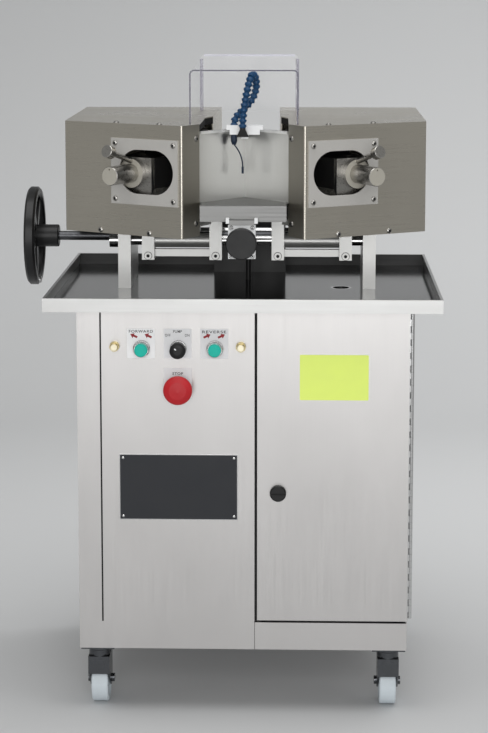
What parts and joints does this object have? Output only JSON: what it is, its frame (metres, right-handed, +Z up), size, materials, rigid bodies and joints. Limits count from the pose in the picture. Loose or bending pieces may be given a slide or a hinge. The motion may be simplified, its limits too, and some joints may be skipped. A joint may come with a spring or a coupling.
{
  "type": "wet knife sharpening machine",
  "caption": "Floor-standing wet knife sharpener: stainless cabinet on castors, drip tray, twin yawed grinding heads, clear cover, jointed coolant hose and side handwheel.",
  "frame": {"origin": "on the floor, under the middle of the whole machine's box", "axes": "+Z up, +Y from the user's side to the back, +X to the user's right"},
  "size_m": [0.796, 0.61, 1.215],
  "materials": {
    "stainless_sheet": "brushed",
    "housing_sheet": "satin brushed",
    "bright_steel": "polished",
    "machined_steel": "machined",
    "zinc_plate": "zinc plated",
    "black_paint": "gloss",
    "grey_paint": "satin",
    "black_plastic": "gloss",
    "dark_plastic": "matte",
    "green_plastic": "gloss",
    "red_plastic": "gloss",
    "white_plastic": "satin",
    "blue_plastic": "satin",
    "nylon": "satin",
    "brass": "polished",
    "abrasive": "gritty",
    "clear_acrylic": "clear"
  },
  "bodies": {
    "cabinet": {"cabinet_shell": "stainless_sheet", "rear_panel": "stainless_sheet", "control_panel": "stainless_sheet", "button_collars": "bright_steel", "contact_blocks": "dark_plastic", "panel_thumbscrews": "brass", "door_hinge_cabinet_leaf": "bright_steel", "door_hinge_pin": "bright_steel", "castor_plates": "zinc_plate", "tray": "stainless_sheet", "drain_fitting": "bright_steel", "coolant_tank": "white_plastic", "coolant_pump": "grey_paint", "electrical_box": "grey_paint", "cord_gland": "dark_plastic", "side_plates": "machined_steel", "guide_rods": "bright_steel", "pedestal_plate": "black_paint", "base_plates": "machined_steel", "slot_plates": "stainless_sheet", "housing_screws": "bright_steel", "blade_chamber": "stainless_sheet", "guide_block": "white_plastic", "clear_cover": "clear_acrylic", "manifold_block": "white_plastic", "supply_tube": "dark_plastic", "splash_strips": "dark_plastic", "coolant_hose": "blue_plastic", "drip_line": "blue_plastic", "housing_left": "housing_sheet", "housing_right": "housing_sheet"},
    "door": {"door": "stainless_sheet", "door_hinge_door_leaf": "bright_steel"},
    "latch": {"door_latch": "bright_steel"},
    "forward_button": {"forward_button": "green_plastic"},
    "reverse_button": {"reverse_button": "green_plastic"},
    "stop_button": {"stop_button": "red_plastic"},
    "pump_selector": {"pump_selector": "black_plastic"},
    "handwheel": {"handwheel": "black_paint", "lead_screw": "bright_steel"},
    "guide_knob": {"guide_knob": "black_plastic"},
    "nozzle": {"fan_nozzle": "white_plastic"},
    "carriage_left": {"carriage_left": "machined_steel", "spindle_motor_left": "black_paint"},
    "spindle_left": {"spindle_left": "bright_steel", "grinding_wheels_left": "abrasive"},
    "lock_left": {"lock_lever_left": "bright_steel"},
    "carriage_right": {"carriage_right": "machined_steel", "spindle_motor_right": "black_paint"},
    "spindle_right": {"spindle_right": "bright_steel", "grinding_wheels_right": "abrasive"},
    "lock_right": {"lock_lever_right": "bright_steel"},
    "castor_front_left": {"castor_fork_front_left": "zinc_plate"},
    "wheel_front_left": {"castor_wheel_front_left": "nylon"},
    "castor_front_right": {"castor_fork_front_right": "zinc_plate"},
    "wheel_front_right": {"castor_wheel_front_right": "nylon"},
    "castor_rear_left": {"castor_fork_rear_left": "zinc_plate"},
    "wheel_rear_left": {"castor_wheel_rear_left": "nylon"},
    "castor_rear_right": {"castor_fork_rear_right": "zinc_plate"},
    "wheel_rear_right": {"castor_wheel_rear_right": "nylon"}
  },
  "joints": [
    {"name": "castor_swivel_front_left", "type": "hinge", "parent": "cabinet", "child": "castor_front_left", "pos_m": [-0.237, -0.2285, 0.126], "axis": [0, 0, 1], "continuous": true},
    {"name": "castor_roll_front_left", "type": "hinge", "parent": "castor_front_left", "child": "wheel_front_left", "pos_m": [-0.237, -0.1965, 0.044], "axis": [1, 0, 0], "continuous": true},
    {"name": "castor_swivel_front_right", "type": "hinge", "parent": "cabinet", "child": "castor_front_right", "pos_m": [0.307, -0.2285, 0.126], "axis": [0, 0, 1], "continuous": true},
    {"name": "castor_roll_front_right", "type": "hinge", "parent": "castor_front_right", "child": "wheel_front_right", "pos_m": [0.307, -0.1965, 0.044], "axis": [1, 0, 0], "continuous": true},
    {"name": "castor_swivel_rear_left", "type": "hinge", "parent": "cabinet", "child": "castor_rear_left", "pos_m": [-0.237, 0.2285, 0.126], "axis": [0, 0, 1], "continuous": true},
    {"name": "castor_roll_rear_left", "type": "hinge", "parent": "castor_rear_left", "child": "wheel_rear_left", "pos_m": [-0.237, 0.2605, 0.044], "axis": [1, 0, 0], "continuous": true},
    {"name": "castor_swivel_rear_right", "type": "hinge", "parent": "cabinet", "child": "castor_rear_right", "pos_m": [0.307, 0.2285, 0.126], "axis": [0, 0, 1], "continuous": true},
    {"name": "castor_roll_rear_right", "type": "hinge", "parent": "castor_rear_right", "child": "wheel_rear_right", "pos_m": [0.307, 0.2605, 0.044], "axis": [1, 0, 0], "continuous": true},
    {"name": "handwheel_turn", "type": "hinge", "parent": "cabinet", "child": "handwheel", "pos_m": [-0.3875, 0.064, 0.861], "axis": [1, 0, 0], "range_deg": [0, 2700]},
    {"name": "carriage_slide_left", "type": "slide", "parent": "cabinet", "child": "carriage_left", "axis": [1, 0, 0], "range_m": [0, 0.03]},
    {"name": "spindle_spin_left", "type": "hinge", "parent": "carriage_left", "child": "spindle_left", "pos_m": [-0.1775, -0.1914, 1.01], "axis": [0.5, 0.866, 0], "continuous": true},
    {"name": "lock_turn_left", "type": "hinge", "parent": "carriage_left", "child": "lock_left", "pos_m": [-0.1775, -0.1914, 1.01], "axis": [0.5, 0.866, 0], "range_deg": [0, 40]},
    {"name": "carriage_slide_right", "type": "slide", "parent": "cabinet", "child": "carriage_right", "axis": [-1, 0, 0], "range_m": [0, 0.03]},
    {"name": "spindle_spin_right", "type": "hinge", "parent": "carriage_right", "child": "spindle_right", "pos_m": [0.2475, -0.1914, 1.01], "axis": [-0.5, 0.866, 0], "continuous": true},
    {"name": "lock_turn_right", "type": "hinge", "parent": "carriage_right", "child": "lock_right", "pos_m": [0.2475, -0.1914, 1.01], "axis": [0.5, -0.866, 0], "range_deg": [0, 40]},
    {"name": "door_swing", "type": "hinge", "parent": "cabinet", "child": "door", "pos_m": [0.3455, -0.253, 0.182], "axis": [0, 0, 1], "range_deg": [0, 120]},
    {"name": "latch_turn", "type": "hinge", "parent": "door", "child": "latch", "pos_m": [0.1, -0.269, 0.426], "axis": [0, -1, 0], "range_deg": [0, 90]},
    {"name": "forward_press", "type": "slide", "parent": "cabinet", "child": "forward_button", "axis": [0, 1, 0], "range_m": [0, 0.004], "stiffness_N_per_m": 900},
    {"name": "reverse_press", "type": "slide", "parent": "cabinet", "child": "reverse_button", "axis": [0, 1, 0], "range_m": [0, 0.004], "stiffness_N_per_m": 900},
    {"name": "stop_press", "type": "slide", "parent": "cabinet", "child": "stop_button", "axis": [0, 1, 0], "range_m": [0, 0.005], "stiffness_N_per_m": 1200},
    {"name": "pump_select", "type": "hinge", "parent": "cabinet", "child": "pump_selector", "pos_m": [-0.08315, -0.269, 0.696], "axis": [0, 1, 0], "range_deg": [0, 90]},
    {"name": "guide_knob_turn", "type": "hinge", "parent": "cabinet", "child": "guide_knob", "pos_m": [0.033, -0.266, 0.8925], "axis": [0, 1, 0], "range_deg": [0, 270]},
    {"name": "nozzle_swivel", "type": "hinge", "parent": "cabinet", "child": "nozzle", "pos_m": [0.0315, -0.164, 1.096], "axis": [0, 0, 1], "range_deg": [-40, 40]}
  ],
  "couplings": [
    {"joint": "carriage_slide_left", "follows": "handwheel_turn", "m_per_rad": 0.00063662},
    {"joint": "carriage_slide_right", "follows": "handwheel_turn", "m_per_rad": 0.00063662}
  ]
}
